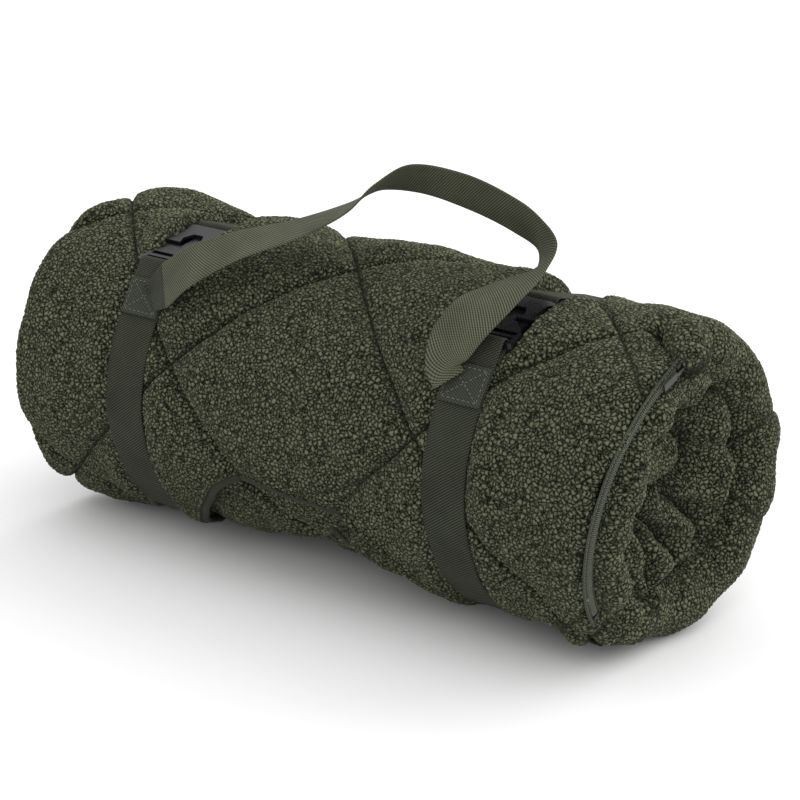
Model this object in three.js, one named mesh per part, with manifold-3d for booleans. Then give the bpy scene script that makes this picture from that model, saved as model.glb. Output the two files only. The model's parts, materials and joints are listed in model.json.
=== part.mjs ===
// A quilted sherpa camp blanket, rolled up and held by two webbing straps with side-release
// buckles, with a carry handle. Millimetres, +Z up, +X along the roll, -Y is the front.
// The origin is on the ground under the middle of the object.
import * as THREE from 'three';
import { mergeVertices } from 'three/addons/utils/BufferGeometryUtils.js';
import Module from 'manifold-3d';

const wasm = await Module();
wasm.setup();

// ---- driving dimensions ----
const GAP = 0.3;                      // clearance between pieces that touch
const ROLL_RADIUS = 129;              // outside of the roll at a corner of its section
const TURN_STEP = 18;                 // degrees between two corners of the section
const FREE_EDGE_ANGLE = 117;          // where the free edge lies, degrees from the top to the front
const AXIS_HEIGHT = ROLL_RADIUS * Math.cos(rad(TURN_STEP / 2));
const INNER_PANEL_LEFT = -286.5;        // the inner panel sticks out a little at the left end
const PANEL_LEFT = -281;
const CORE_RIGHT = 254;
const ZIP_PLANE_X = 258;              // the zipped end, at the height of the roll's axis
const ZIP_SLANT = 0.19;               // its lean, X per Z
const OUTER_SHARE = 0.575;            // share of the two panels' thickness in the outer one
const LAYERS = [['face', 0, 0.25], ['wadding', 0.25, 0.75], ['lining', 0.75, 1]];

const WEB_WIDTH = 38;                 // strap and handle webbing
const WEB_THICK = 1.6;
const STRAPS = { left: -175.3, right: 137.3 };
const STRAP_RADIUS = 124.1;           // middle of the webbing round the roll
const PRESSED_RADIUS = 123;           // the cloth under a strap
const PRESSED_HALF = 25.5;            // half width of the pressed band
const PRESSED_EASE = 5.5;
const STRAP_JOIN_ANGLE = -40;         // where the strap's loose run at the back begins

const BUCKLE_Y = -44;                 // middle of the buckle
const BUCKLE_UP = 110;                // its height above the roll's axis
const BUCKLE_TILT = 12;               // degrees, rising to the back
const BUCKLE_HALF = 36;
const BUCKLE_WIDTH = 49;
const HOUSING_THICK = 9.6;
const FRAME_THICK = 4.4;
const BAR_AT = 34.2;                  // bar centre from the buckle's middle
const BAR_HALF = 1.7;
const HOOK_RADIUS = 3.9;              // webbing round a bar
const HOOK_RETURN = 21;
const CAVITY_HALF_WIDTH = 19;
const CAVITY_HALF_HEIGHT = 2.5;
const ARM_HALF_HEIGHT = 1.9;

const ZIP_RADIUS = 119;               // between the two coil rows
const ZIP_START = 24;                 // degrees from the top to the front
const ZIP_END = 128;
const COIL_WIDTH = 1.9;
const COIL_THICK = 2.2;
const TAPE_WIDTH = 7;
const TAPE_THICK = 0.8;
const COIL_STAND_OFF = 3.4;           // middle of the coil above the end of the roll
const SLIDER_LENGTH = 12;

const CLOTH = { color: 0x4a4f3b, roughness: 0.95, metalness: 0 };
const WADDING = { color: 0xd9d7cd, roughness: 1, metalness: 0 };
const WEBBING = { color: 0x454c38, roughness: 0.85, metalness: 0 };
const PLASTIC = { color: 0x1d1e22, roughness: 0.4, metalness: 0 };
const ZIP_TAPE = { color: 0x5a5f50, roughness: 0.8, metalness: 0 };
const METAL = { color: 0x55584f, roughness: 0.35, metalness: 0.9 };

// ---- helpers ----
function rad(degrees) {
  return degrees * Math.PI / 180;
}

const blanket = new THREE.Group();
const axis = new THREE.Group();       // everything below is measured from the roll's axis
axis.position.z = AXIS_HEIGHT;
blanket.add(axis);

function add(name, geometry, look, parent = axis) {
  const mesh = new THREE.Mesh(geometry, new THREE.MeshStandardMaterial(look));
  mesh.name = name;
  parent.add(mesh);
  return mesh;
}

// A point of the section: radius and angle from the top towards the front, as [y, z].
function polar(radius, angle) {
  return [-radius * Math.sin(rad(angle)), radius * Math.cos(rad(angle))];
}

function toSolid(geometry) {
  const bare = geometry.clone();
  bare.deleteAttribute('normal');
  bare.deleteAttribute('uv');
  const merged = mergeVertices(bare, 1e-4);
  const vertProperties = new Float32Array(merged.attributes.position.array);
  const triVerts = new Uint32Array(merged.index.array);
  return new wasm.Manifold(new wasm.Mesh({ numProp: 3, vertProperties, triVerts }));
}

function toGeometry(solid) {
  const mesh = solid.getMesh();
  const geometry = new THREE.BufferGeometry();
  geometry.setAttribute('position', new THREE.BufferAttribute(mesh.vertProperties, 3));
  geometry.setIndex(new THREE.BufferAttribute(mesh.triVerts, 1));
  geometry.computeVertexNormals();
  return geometry;
}

function cut(geometry, cutters) {
  const solid = cutters.reduce((rest, cutter) => rest.subtract(toSolid(cutter)), toSolid(geometry));
  return toGeometry(solid);
}

function join(first, second) {
  return toGeometry(toSolid(first).add(toSolid(second)));
}

function block(x0, x1, y0, y1, z0, z1) {
  const box = new THREE.BoxGeometry(x1 - x0, y1 - y0, z1 - z0);
  return box.translate((x0 + x1) / 2, (y0 + y1) / 2, (z0 + z1) / 2);
}

// A plan outline of [x, y] points, between two heights.
function plate(outline, z0, z1) {
  const shape = new THREE.Shape(outline.map(([x, y]) => new THREE.Vector2(x, y)));
  return new THREE.ExtrudeGeometry(shape, { depth: z1 - z0, bevelEnabled: false }).translate(0, 0, z0);
}

// An outline of [y, z] points, between two places along X.
function extrudeX(outline, x0, x1) {
  const turned = new THREE.Matrix4().makeBasis(
    new THREE.Vector3(0, 1, 0), new THREE.Vector3(0, 0, 1), new THREE.Vector3(1, 0, 0));
  return plate(outline, x0, x1).applyMatrix4(turned);
}

// The outline of a strip of even thickness along a path of [y, z] points.
function stripOutline(path, thickness) {
  const left = [];
  const right = [];
  path.forEach(([y, z], i) => {
    const before = path[Math.max(i - 1, 0)];
    const after = path[Math.min(i + 1, path.length - 1)];
    const along = new THREE.Vector2(after[0] - before[0], after[1] - before[1]).normalize();
    left.push([y - along.y * thickness / 2, z + along.x * thickness / 2]);
    right.unshift([y + along.y * thickness / 2, z - along.x * thickness / 2]);
  });
  return left.concat(right);
}

// ---- the rolled panels ----
// Both panels wind inwards together from the free edge. The knots give the outside radius of the
// pair, and its thickness, against the angle wound so far.
const RADIUS_KNOTS = [[0, ROLL_RADIUS], [306, ROLL_RADIUS], [342, 117], [360, 116.5], [432, 88.5],
  [666, 88.3], [702, 76.3], [720, 76], [792, 48], [1008, 46]];
const THICKNESS_KNOTS = [[0, 12], [72, 40], [1008, 40]];
const FIRST_TURN = 360;
const LAST_ANGLE = 1008;

function knotValue(knots, wound) {
  const next = Math.max(knots.findIndex(([angle]) => angle >= wound), 1);
  const [a0, v0] = knots[next - 1];
  const [a1, v1] = knots[next];
  return v0 + (v1 - v0) * (wound - a0) / (a1 - a0);
}

// The straps and buckles press flat places into the roll: each is a line in the section, given by
// its normal's angle from the top and its distance from the axis.
const PRESSED_FLATS = [[BUCKLE_TILT, 110.6], [-12, 108.6], [-25, 115]];

function pressedRadius(angle) {
  const flats = PRESSED_FLATS.map(([normal, distance]) => {
    const lean = Math.cos(rad(angle - normal));
    return lean > 0.1 ? distance / lean : ROLL_RADIUS;
  });
  return Math.min(PRESSED_RADIUS, ...flats);
}

function outerRadius(wound, pressed) {
  const free = knotValue(RADIUS_KNOTS, wound);
  const held = Math.min(free, pressedRadius(FREE_EDGE_ANGLE - wound));
  return free + (held - free) * pressed;
}

function rightEnd(z) {
  return ZIP_PLANE_X + ZIP_SLANT * z;
}

// The outer and the inner side of one layer at one station, as rows of points. from and to are
// shares of the panel's thickness, and share says which part of the pair the panel takes.
function layerRows(station, start, end, share, from, to) {
  const outer = [];
  const inner = [];
  for (let wound = start; wound <= end; wound += TURN_STEP) {
    const angle = FREE_EDGE_ANGLE - wound;
    const free = knotValue(RADIUS_KNOTS, wound);
    const thickness = knotValue(THICKNESS_KNOTS, wound);
    const top = share[0] === 0 ? outerRadius(wound, station.pressed) : free - share[0] * thickness;
    const bottom = free - share[1] * thickness;
    const [yo, zo] = polar(top - from * (top - bottom) - GAP / 2, angle);
    const [yi, zi] = polar(top - to * (top - bottom) + GAP / 2, angle);
    outer.push(new THREE.Vector3(station.slanted ? rightEnd(zo) : station.x, yo, zo));
    inner.push(new THREE.Vector3(station.slanted ? rightEnd(zi) : station.x, yi, zi));
  }
  return { outer, inner };
}

// A closed shell between an outer and an inner grid of points, both cut into triangles alike, so
// that layers which follow each other stay clear.
function shell(rows) {
  const count = rows[0].outer.length;
  const points = rows.flatMap(({ outer, inner }) => [...outer, ...inner]);
  const geometry = new THREE.BufferGeometry().setFromPoints(points);
  const outer = (i, j) => i * 2 * count + j;
  const inner = (i, j) => outer(i, j) + count;
  const faces = [];
  const quad = (a, b, c, d) => faces.push(a, b, c, a, c, d);
  const last = rows.length - 1;
  for (let i = 0; i < last; i++) {
    for (let j = 0; j < count - 1; j++) {
      quad(outer(i, j), outer(i + 1, j), outer(i + 1, j + 1), outer(i, j + 1));
      const [a, b, c, d] = [inner(i, j), inner(i + 1, j), inner(i + 1, j + 1), inner(i, j + 1)];
      faces.push(a, c, b, a, d, c);
    }
    quad(outer(i, 0), inner(i, 0), inner(i + 1, 0), outer(i + 1, 0));
    quad(outer(i, count - 1), outer(i + 1, count - 1), inner(i + 1, count - 1), inner(i, count - 1));
  }
  for (let j = 0; j < count - 1; j++) {
    quad(outer(0, j), outer(0, j + 1), inner(0, j + 1), inner(0, j));
    quad(outer(last, j), inner(last, j), inner(last, j + 1), outer(last, j + 1));
  }
  geometry.setIndex(faces);
  geometry.computeVertexNormals();
  return geometry;
}

function outerPanelStations() {
  const stations = [{ x: PANEL_LEFT, pressed: 0 }];
  for (const x of Object.values(STRAPS)) {
    stations.push({ x: x - PRESSED_HALF - PRESSED_EASE, pressed: 0 });
    stations.push({ x: x - PRESSED_HALF, pressed: 1 });
    stations.push({ x: x + PRESSED_HALF, pressed: 1 });
    stations.push({ x: x + PRESSED_HALF + PRESSED_EASE, pressed: 0 });
  }
  stations.push({ x: ZIP_PLANE_X, pressed: 0, slanted: true });
  return stations;
}

function makePanels() {
  for (const [layer, from, to] of LAYERS) {
    const look = layer === 'wadding' ? WADDING : CLOTH;
    const outerTurn = outerPanelStations().map((station) =>
      layerRows(station, 0, FIRST_TURN, [0, OUTER_SHARE], from, to));
    add(`outer_panel_${layer}`, shell(outerTurn), look);
    const innerTurns = [PANEL_LEFT, CORE_RIGHT].map((x) =>
      layerRows({ x, pressed: 0 }, FIRST_TURN + TURN_STEP, LAST_ANGLE, [0, OUTER_SHARE], from, to));
    add(`outer_panel_${layer}_core`, shell(innerTurns), look);
    const innerPanel = [{ x: INNER_PANEL_LEFT, pressed: 0 }, { pressed: 0, slanted: true }].map((station) =>
      layerRows(station, 0, LAST_ANGLE, [OUTER_SHARE, 1], from, to));
    add(`inner_panel_${layer}`, shell(innerPanel), look);
  }
}

// The tape that binds the free edge of the outer panel, between the straps.
function makeEdgeBinding() {
  const angle = FREE_EDGE_ANGLE + 0.7;
  const outline = [polar(ROLL_RADIUS, angle), polar(ROLL_RADIUS, angle + 1.2),
    polar(ROLL_RADIUS - 6.4, angle + 1.2), polar(ROLL_RADIUS - 6.4, angle)];
  const inner = STRAPS.left + PRESSED_HALF + PRESSED_EASE;
  const outer = STRAPS.right - PRESSED_HALF - PRESSED_EASE;
  add('free_edge_binding', extrudeX(outline.reverse(), inner, outer), WEBBING);
}

// ---- straps ----
const BUCKLE_ALONG = [Math.cos(rad(BUCKLE_TILT)), Math.sin(rad(BUCKLE_TILT))];

// A bar of the buckle, in the section: side -1 is the front one.
function barCentre(side) {
  return [BUCKLE_Y + side * BAR_AT * BUCKLE_ALONG[0], BUCKLE_UP + side * BAR_AT * BUCKLE_ALONG[1]];
}

// Webbing that comes up from a point on the roll, over a bar, and back under itself.
function hookPath(side, from) {
  const [by, bz] = barCentre(side);
  const away = new THREE.Vector2(from[0] - by, from[1] - bz);
  const length = away.length();
  away.normalize();
  const out = side < 0 ? new THREE.Vector2(away.y, -away.x) : new THREE.Vector2(-away.y, away.x);
  const path = [from];
  const turn = side < 0 ? 1 : -1;
  const start = Math.atan2(out.y, out.x);
  for (let i = 0; i <= 8; i++) {
    const angle = start - turn * Math.PI * i / 8;
    path.push([by + HOOK_RADIUS * Math.cos(angle), bz + HOOK_RADIUS * Math.sin(angle)]);
  }
  const drop = HOOK_RADIUS * (1 - HOOK_RETURN / length) - WEB_THICK - 2 * GAP;
  path.push([by + away.x * HOOK_RETURN + out.x * drop, bz + away.y * HOOK_RETURN + out.y * drop]);
  return path;
}

function arcPath(radius, from, to, step) {
  const path = [];
  const count = Math.max(Math.round(Math.abs(to - from) / step), 1);
  for (let i = 0; i <= count; i++) path.push(polar(radius, from + (to - from) * i / count));
  return path;
}

function makeStrap(side, x) {
  const [by, bz] = barCentre(-1);
  const barAngle = Math.atan2(-by, bz) * 180 / Math.PI;
  const tangent = barAngle + Math.acos(STRAP_RADIUS / Math.hypot(by, bz)) * 180 / Math.PI;
  const round = arcPath(STRAP_RADIUS, 360 + STRAP_JOIN_ANGLE, tangent, 7);
  const front = round.slice(0, -1).concat(hookPath(-1, round[round.length - 1]));
  const half = WEB_WIDTH / 2;
  add(`${side}_strap`, extrudeX(stripOutline(front, WEB_THICK).reverse(), x - half, x + half), WEBBING);
  const back = hookPath(1, polar(STRAP_RADIUS, STRAP_JOIN_ANGLE + 0.5));
  add(`${side}_strap_end`, extrudeX(stripOutline(back, WEB_THICK), x - half, x + half), WEBBING);
}

// ---- buckles ----
function mirrored(half) {
  return half.concat(half.map(([x, y]) => [-x, y]).reverse());
}

function slot(y0, y1) {
  const half = WEB_WIDTH / 2 + 0.8;
  return block(-half, half, y0, y1, -HOUSING_THICK, HOUSING_THICK);
}

function housingGeometry() {
  const wide = BUCKLE_WIDTH / 2;
  const shell = mirrored([[22.4, -3], [22.8, 3], [23.4, 20], [22, 25], [16, 27]]);
  const loop = mirrored([[20, 23], [wide - 1, 25.5], [wide, 33], [wide - 1.5, 35.4], [wide - 3.5, BUCKLE_HALF]]);
  const body = join(plate(shell, -HOUSING_THICK / 2, HOUSING_THICK / 2),
    plate(loop, -FRAME_THICK / 2, FRAME_THICK / 2));
  const cavity = block(-CAVITY_HALF_WIDTH, CAVITY_HALF_WIDTH, -4, 22.5, -CAVITY_HALF_HEIGHT, CAVITY_HALF_HEIGHT);
  const window = [[18, 5.4], [26, 4], [26, 22], [20.5, 21.5], [18, 19]];
  const sight = mirrored([[6.5, -4], [9.5, 4], [5, 12]]);
  const cutters = [cavity, slot(BAR_AT - BAR_HALF - 5.4, BAR_AT - BAR_HALF),
    plate(window, -HOUSING_THICK, HOUSING_THICK),
    plate(window.map(([x, y]) => [-x, y]).reverse(), -HOUSING_THICK, HOUSING_THICK),
    plate(sight, 0, HOUSING_THICK)];
  return cut(body, cutters);
}

function plugGeometry() {
  const wide = BUCKLE_WIDTH / 2;
  const frame = mirrored([[wide - 3, -BUCKLE_HALF], [wide - 0.6, -BUCKLE_HALF + 1], [wide, -33],
    [wide - 1.4, -22], [19.5, -16], [17.2, -11], [18, -4.2]]);
  const tongue = mirrored([[4.6, -6], [4.4, 14], [3, 20]]);
  const body = join(plate(frame, -FRAME_THICK / 2, FRAME_THICK / 2),
    plate(tongue, -ARM_HALF_HEIGHT, ARM_HALF_HEIGHT));
  return cut(body, [slot(-BAR_AT + BAR_HALF, -BAR_AT + BAR_HALF + 5.4), slot(-23.6, -19.2)]);
}

function prongGeometry(side) {
  const outline = [[12, -3.4], [17.4, -3.4], [17.6, 5.6], [21.4, 6.8], [21.8, 11], [20.4, 16],
    [17.2, 21], [13.6, 21.2], [12.8, 12]];
  const placed = outline.map(([x, y]) => [side * x, y]);
  return plate(side > 0 ? placed : placed.reverse(), -ARM_HALF_HEIGHT, ARM_HALF_HEIGHT);
}

function makeBuckle(side, x) {
  const buckle = new THREE.Group();
  buckle.position.set(x, BUCKLE_Y, BUCKLE_UP);
  buckle.rotation.x = rad(BUCKLE_TILT);
  axis.add(buckle);
  add(`${side}_buckle_housing`, housingGeometry(), PLASTIC, buckle);
  add(`${side}_buckle_plug`, plugGeometry(), PLASTIC, buckle);
  add(`${side}_buckle_prong_left`, prongGeometry(-1), PLASTIC, buckle);
  add(`${side}_buckle_prong_right`, prongGeometry(1), PLASTIC, buckle);
}

// ---- carry handle ----
// The webbing's middle and the direction across it, from the left strap to the right one.
const HANDLE_STATIONS = [
  [[-154, -97, 94], [-0.44, 0.43, 0.79]],
  [[-122, -100, 117], [-0.55, 0.58, 0.6]],
  [[-88, -83, 135], [-0.6, 0.73, 0.34]],
  [[-55, -59, 145], [-0.62, 0.77, 0.16]],
  [[-23, -34, 160], [-0.59, 0.8, -0.06]],
  [[-5, -19, 175], [-0.45, 0.83, -0.32]],
  [[17, -4, 182], [-0.23, 0.65, -0.72]],
  [[57, 6, 178], [-0.22, 0.48, -0.85]],
  [[99, 8, 168], [-0.23, 0.45, -0.86]],
  [[125, 5, 159], [-0.26, 0.44, -0.86]],
  [[141, -9, 148], [-0.65, 0.18, -0.74]],
  [[141, -34, 140], [-0.95, 0.12, -0.29]],
  [[139, -61, 133], [-0.99, 0.13, 0.04]],
  [[134, -85, 123], [-0.91, 0.11, 0.39]],
  [[121, -98, 105], [-0.82, 0.2, 0.54]],
  [[114, -97, 94], [-0.75, 0.35, 0.56]],
];
const HANDLE_STEPS = 40;

function makeHandle() {
  const vector = (p) => new THREE.Vector3(...p);
  const middle = new THREE.CatmullRomCurve3(HANDLE_STATIONS.map(([p]) => vector(p)), false, 'centripetal');
  const across = new THREE.CatmullRomCurve3(HANDLE_STATIONS.map(([, w]) => vector(w)), false, 'catmullrom');
  const rows = [];
  for (let i = 0; i <= HANDLE_STEPS; i++) {
    const t = i / HANDLE_STEPS;
    const centre = middle.getPoint(t);
    const along = middle.getTangent(t);
    const side = across.getPoint(t);
    side.addScaledVector(along, -side.dot(along)).setLength(WEB_WIDTH / 2);
    const up = new THREE.Vector3().crossVectors(along, side).setLength(WEB_THICK / 2);
    const edgeToEdge = (lift) => [-1, 0, 1].map((s) =>
      centre.clone().addScaledVector(side, s).addScaledVector(up, lift));
    rows.push({ outer: edgeToEdge(1), inner: edgeToEdge(-1) });
  }
  add('carry_handle', shell(rows), WEBBING);
}

// The sewn end of the handle, flat on the straight run of the strap below the buckle.
const PATCH_LENGTH = 30;

function makeHandlePatch(side, x) {
  const [by, bz] = barCentre(-1);
  const barAngle = Math.atan2(-by, bz) * 180 / Math.PI;
  const tangent = barAngle + Math.acos(STRAP_RADIUS / Math.hypot(by, bz)) * 180 / Math.PI;
  const [ty, tz] = polar(STRAP_RADIUS, tangent);
  const up = new THREE.Vector2(by - ty, bz - tz);
  const length = up.length();
  const out = new THREE.Vector2(-up.y, up.x).normalize();
  up.addScaledVector(out, HOOK_RADIUS).normalize();
  const flat = new THREE.Vector2(-up.y, up.x);
  const patch = new THREE.Group();
  patch.position.set(x, ty + flat.x * (WEB_THICK + GAP), tz + flat.y * (WEB_THICK + GAP));
  patch.rotation.x = Math.atan2(up.y, up.x);
  axis.add(patch);
  const half = WEB_WIDTH / 2;
  const start = length - PATCH_LENGTH - 6;
  add(`${side}_handle_patch`, block(-half, half, start, start + PATCH_LENGTH,
    -WEB_THICK / 2, WEB_THICK / 2), WEBBING, patch);
}

// ---- zip ----
// The zip lies in the slanted plane of the roll's right end. In its own frame X points out of
// that end, and the arc is measured like the roll's section.
const zip = new THREE.Group();
zip.position.set(ZIP_PLANE_X, 0, 0);
zip.rotation.y = Math.atan(ZIP_SLANT);

function zipArc(name, inner, outer, x0, x1, look, start = ZIP_START, end = ZIP_END) {
  const outline = arcPath(outer, start, end, 5).concat(arcPath(inner, end, start, 5));
  add(name, extrudeX(outline, x0, x1), look, zip);
}

function makeZip() {
  axis.add(zip);
  const middle = COIL_STAND_OFF;
  for (const [side, sign] of [['outer', 1], ['inner', -1]]) {
    const coil = [ZIP_RADIUS + sign * 0.15, ZIP_RADIUS + sign * (0.15 + COIL_WIDTH)];
    const tape = [coil[1] + sign * GAP, coil[1] + sign * (GAP + TAPE_WIDTH)];
    zipArc(`zip_coil_${side}`, Math.min(...coil), Math.max(...coil),
      middle - COIL_THICK / 2, middle + COIL_THICK / 2, ZIP_TAPE);
    zipArc(`zip_tape_${side}`, Math.min(...tape), Math.max(...tape),
      middle - TAPE_THICK / 2, middle + TAPE_THICK / 2, ZIP_TAPE);
  }
  zipArc('zip_stop_bottom', ZIP_RADIUS - 3, ZIP_RADIUS + 3, middle - 1.5, middle + 1.5, METAL,
    ZIP_END + 0.3, ZIP_END + 2);
  zipArc('zip_stop_top', ZIP_RADIUS - 3, ZIP_RADIUS + 3, middle - 1.5, middle + 1.5, METAL,
    ZIP_START - 9, ZIP_START - 7.3);
}

// The slider sits at the closed end. Its own frame has Y along the zip and Z across it.
function makeSlider() {
  const slider = new THREE.Group();
  slider.rotation.x = rad(ZIP_START + 0.5);
  zip.add(slider);
  const x = COIL_STAND_OFF;
  const half = SLIDER_LENGTH / 2;
  const r = ZIP_RADIUS;
  const low = block(x - 2.7, x - 1.6, -half, half, r - 4.6, r + 4.6);
  const high = block(x + 1.6, x + 2.8, -half, half, r - 4.6, r + 4.6);
  const post = block(x - 2, x + 2, half - 3, half - 0.6, r - 1.4, r + 1.4);
  const crownA = block(x + 2.5, x + 4.4, -1.4, 1.4, r + 1.6, r + 2.8);
  const crownB = block(x + 2.5, x + 4.4, -1.4, 1.4, r - 2.8, r - 1.6);
  const body = [high, post, crownA, crownB].reduce(join, low);
  add('zip_slider', body, METAL, slider);
  const pull = block(x + 3.3, x + 4.1, -22, 0.6, r - 1.2, r + 1.2);
  const grip = block(x + 3.1, x + 4.3, -24, -9, r - 3, r + 3);
  add('zip_pull', join(pull, grip), METAL, slider);
}

makePanels();
makeEdgeBinding();
for (const [side, x] of Object.entries(STRAPS)) {
  makeStrap(side, x);
  makeBuckle(side, x);
  makeHandlePatch(side, x);
}
makeHandle();
makeZip();
makeSlider();

export default blanket;
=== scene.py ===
"""A quilted sherpa camp blanket, rolled up and strapped: its looks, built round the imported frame.

Angles run round the roll from its top towards the front (-Y). Lengths are in metres.
"""
import json
import math

import bmesh
import bpy
import numpy as np
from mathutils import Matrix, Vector


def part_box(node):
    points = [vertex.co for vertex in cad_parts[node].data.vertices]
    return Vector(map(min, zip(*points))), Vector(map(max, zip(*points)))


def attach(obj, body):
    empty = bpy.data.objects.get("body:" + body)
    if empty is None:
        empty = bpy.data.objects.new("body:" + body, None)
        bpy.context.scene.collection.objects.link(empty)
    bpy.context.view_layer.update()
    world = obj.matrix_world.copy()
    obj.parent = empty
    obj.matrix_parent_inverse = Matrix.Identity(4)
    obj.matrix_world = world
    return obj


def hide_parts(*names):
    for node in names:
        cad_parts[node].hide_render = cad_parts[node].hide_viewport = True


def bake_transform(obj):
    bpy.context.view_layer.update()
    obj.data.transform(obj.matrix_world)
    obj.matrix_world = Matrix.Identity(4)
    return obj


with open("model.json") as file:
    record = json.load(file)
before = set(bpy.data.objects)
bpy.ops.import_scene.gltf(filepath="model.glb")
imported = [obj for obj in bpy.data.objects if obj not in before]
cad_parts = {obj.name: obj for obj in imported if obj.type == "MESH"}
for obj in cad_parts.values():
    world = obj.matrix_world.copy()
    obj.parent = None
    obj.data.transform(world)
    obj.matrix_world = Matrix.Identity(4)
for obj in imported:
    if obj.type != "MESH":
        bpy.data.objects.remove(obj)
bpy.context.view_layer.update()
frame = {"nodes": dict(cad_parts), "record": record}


# ---- places taken from the frame ----
def box_of(node):
    low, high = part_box(node)
    return Vector(low), Vector(high)


def joint_of(name):
    return next(j for j in frame["record"]["behaviour"]["joints"] if j["name"] == name)


MM = 0.001
SIDES = ("left", "right")
ZIP_HINGE = joint_of("zip_slider_travel")
AXIS_Z = ZIP_HINGE["pos_m"][2]                # the roll's axis lies at this height
ZIP_X = ZIP_HINGE["pos_m"][0]                 # the zip's plane crosses the axis here
ZIP_SLANT = -ZIP_HINGE["axis"][2] / ZIP_HINGE["axis"][0]
PANEL_LEFT = box_of("outer_panel_face")[0].x
INNER_LEFT = box_of("inner_panel_face")[0].x
STRAP_LOW, STRAP_HIGH = box_of("left_strap")
WEB_WIDTH = STRAP_HIGH.x - STRAP_LOW.x
STRAP_X = {side: sum(corner.x for corner in box_of(f"{side}_strap")) / 2 for side in SIDES}

# ---- driving sizes ----
FINE = 1.5 * MM      # spacing of the fleece's mesh
HIDDEN = 9 * MM                               # spacing where cloth can't be seen
TUFT = 3.2 * MM                               # one tuft of the sherpa pile
CURL = 1.5 * MM                               # the curls and gaps of its surface
NUB_HEIGHT = 1.7 * MM
ROLL_RADIUS = 128 * MM                        # the outer cloth, under the tips of its pile
WEB_THICK = 1.6 * MM
STRAP_RADIUS = AXIS_Z - STRAP_LOW.z - WEB_THICK / 2
FLAP_ANGLE = 158                              # degrees: the free edge lies under the roll, at the front
OUTER_SWEEP = 425                             # degrees of the outer panel that can be seen


# ---- small maths ----
def smooth(low, high, value):
    t = np.clip((value - low) / (high - low), 0.0, 1.0)
    return t * t * (3 - 2 * t)


def knots(value, pairs):
    places, values = zip(*pairs)
    return np.interp(value, places, values)


def lumps(a, b, size, seed):
    """A smooth random field over two coordinates, about -1 to 1, with waves of the given size."""
    rng = np.random.default_rng(seed)
    total = np.zeros(np.broadcast(a, b).shape)
    for _ in range(7):
        turn, phase = rng.uniform(0, 2 * math.pi, 2)
        pitch = 2 * math.pi / (size * rng.uniform(0.7, 1.6))
        total = total + np.sin(pitch * (a * math.cos(turn) + b * math.sin(turn)) + phase)
    return total / 3.0


def between(start, end, k, first, last):
    """The point on the line from first, at start, to last, at end, where the parameter is k."""
    return (end - k) / (end - start) * first + (k - start) / (end - start) * last


def catmull(points, count):
    """A centripetal Catmull-Rom curve through the points, at evenly spaced lengths."""
    p = np.array(points, dtype=float)
    p = np.vstack([2 * p[0] - p[1], p, 2 * p[-1] - p[-2]])
    out = []
    for a, b, c, d in zip(p[:-3], p[1:-2], p[2:-1], p[3:]):
        t = np.cumsum([0] + [max(np.linalg.norm(v - u), 1e-9) ** 0.5 for u, v in ((a, b), (b, c), (c, d))])
        for k in np.linspace(t[1], t[2], 24, endpoint=False):
            first = between(t[0], t[1], k, a, b)
            second = between(t[1], t[2], k, b, c)
            third = between(t[2], t[3], k, c, d)
            left = between(t[0], t[2], k, first, second)
            right = between(t[1], t[3], k, second, third)
            out.append(between(t[1], t[2], k, left, right))
    out.append(p[-2])
    return resample(np.array(out), count)


def lengths_along(points):
    return np.concatenate([[0], np.cumsum(np.linalg.norm(np.diff(points, axis=0), axis=1))])


def resample(points, count):
    along = lengths_along(points)
    even = np.linspace(0, along[-1], count)
    return np.stack([np.interp(even, along, points[:, k]) for k in range(points.shape[1])], axis=1)


def unit(vectors):
    return vectors / np.linalg.norm(vectors, axis=-1, keepdims=True)


def round_axis(radius, degrees):
    """The y and z of places round the roll's axis."""
    angle = np.radians(degrees)
    return -radius * np.sin(angle), AXIS_Z + radius * np.cos(angle)


def polar(radius, degrees):
    """A point of the roll's section, as (y, z) from its axis."""
    angle = math.radians(degrees)
    return np.array([-radius * math.sin(angle), radius * math.cos(angle)])


# ---- meshes ----
def new_object(name, mesh):
    obj = bpy.data.objects.new(name, mesh)
    bpy.context.scene.collection.objects.link(obj)
    return obj


def grid_mesh(name, grid):
    """A closed skin over rows of points: each row is a loop, and the end rows are filled."""
    rows, columns = grid.shape[:2]
    i, j = np.meshgrid(np.arange(rows - 1), np.arange(columns), indexing="ij")
    i, j = i.ravel(), j.ravel()
    following = (j + 1) % columns
    here, beyond = i * columns, (i + 1) * columns
    quads = np.stack([here + j, beyond + j, beyond + following, here + following], axis=1)
    quads = quads.astype(np.int32)
    caps = np.concatenate([cap_triangles(grid[0], 0), cap_triangles(grid[-1], (rows - 1) * columns)])
    starts = np.concatenate([np.arange(0, quads.size, 4), quads.size + np.arange(0, caps.size, 3)])
    mesh = bpy.data.meshes.new(name)
    mesh.vertices.add(rows * columns)
    mesh.vertices.foreach_set("co", grid.astype(np.float32).ravel())
    mesh.loops.add(quads.size + caps.size)
    mesh.loops.foreach_set("vertex_index", np.concatenate([quads.ravel(), caps.ravel()]).astype(np.int32))
    mesh.polygons.add(len(quads) + len(caps))
    mesh.polygons.foreach_set("loop_start", starts.astype(np.int32))
    mesh.update(calc_edges=True)
    turn_out(mesh)
    shade_smooth(mesh)
    return new_object(name, mesh)


def cap_triangles(loop, first):
    """Triangles across a flat loop, laid between its two long sides, which may both curve."""
    along = lengths_along(np.vstack([loop, loop[:1]]))
    count, total = len(loop), along[-1]
    far = int(np.searchsorted(along, total / 2))
    i, j = 0, count
    triangles = []
    while i < far or j > far:
        if j == far or (i < far and along[i + 1] <= total - along[j - 1]):
            triangles.append((i, i + 1, j % count))
            i += 1
        else:
            triangles.append((i, j - 1, j % count))
            j -= 1
    triangles = [t for t in triangles if len(set(t)) == 3]
    return np.array(triangles) + first


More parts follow.
